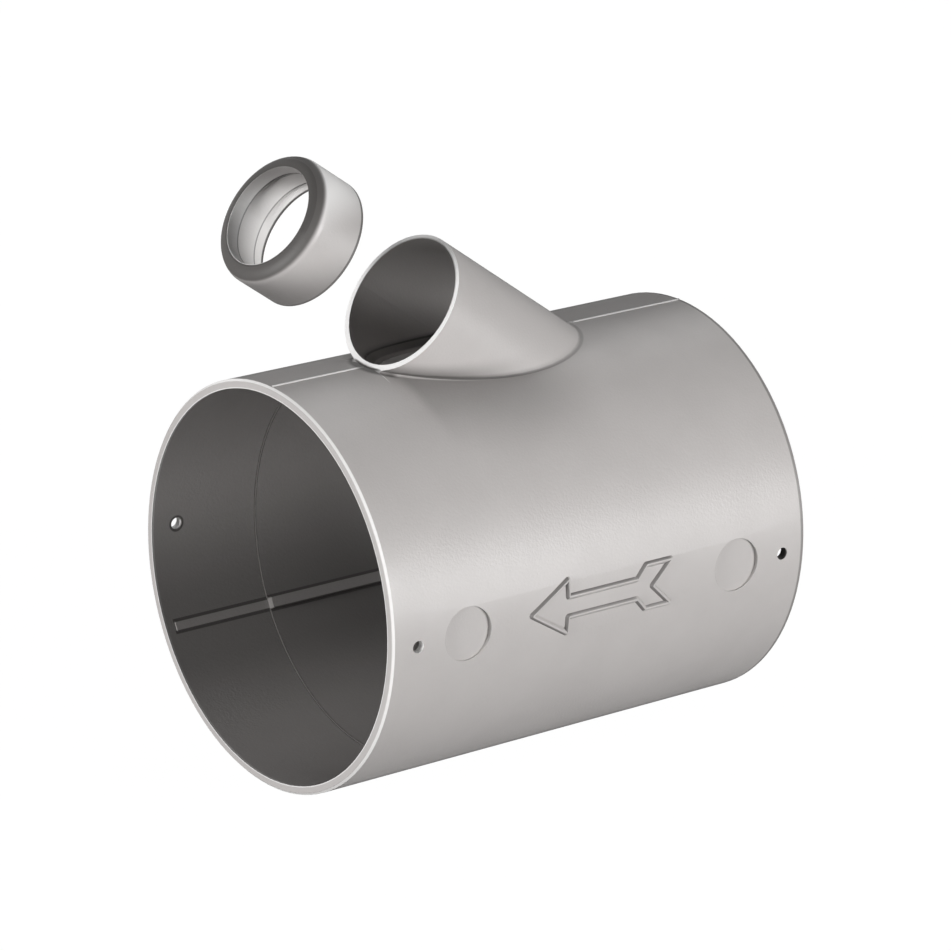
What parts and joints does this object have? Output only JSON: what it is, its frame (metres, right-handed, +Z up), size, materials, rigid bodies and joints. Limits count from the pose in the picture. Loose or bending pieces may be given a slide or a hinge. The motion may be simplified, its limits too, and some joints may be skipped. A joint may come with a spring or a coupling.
{
  "type": "duct branch fitting",
  "caption": "Straight round plastic duct fitting with a small slanted branch for drawing off air, and a loose ring that narrows the branch's mouth",
  "frame": {"origin": "centre of the front mouth of the straight duct, the mouth that the branch leans towards", "axes": "+X along the duct from the front mouth to the rear mouth, +Z up on the side where the branch stands, -Y the side with the shallow round recesses"},
  "size_m": [0.0922, 0.069, 0.106],
  "materials": {
    "grey_plastic": "satin moulded plastic"
  },
  "bodies": {
    "fitting": {"branch_fitting": "grey_plastic"},
    "ring": {"insert_ring": "grey_plastic"}
  },
  "joints": [
    {"name": "ring_slide", "type": "slide", "parent": "fitting", "child": "ring", "axis": [-0.8192, 0, 0.5736], "range_m": [-0.0308, 0]}
  ]
}
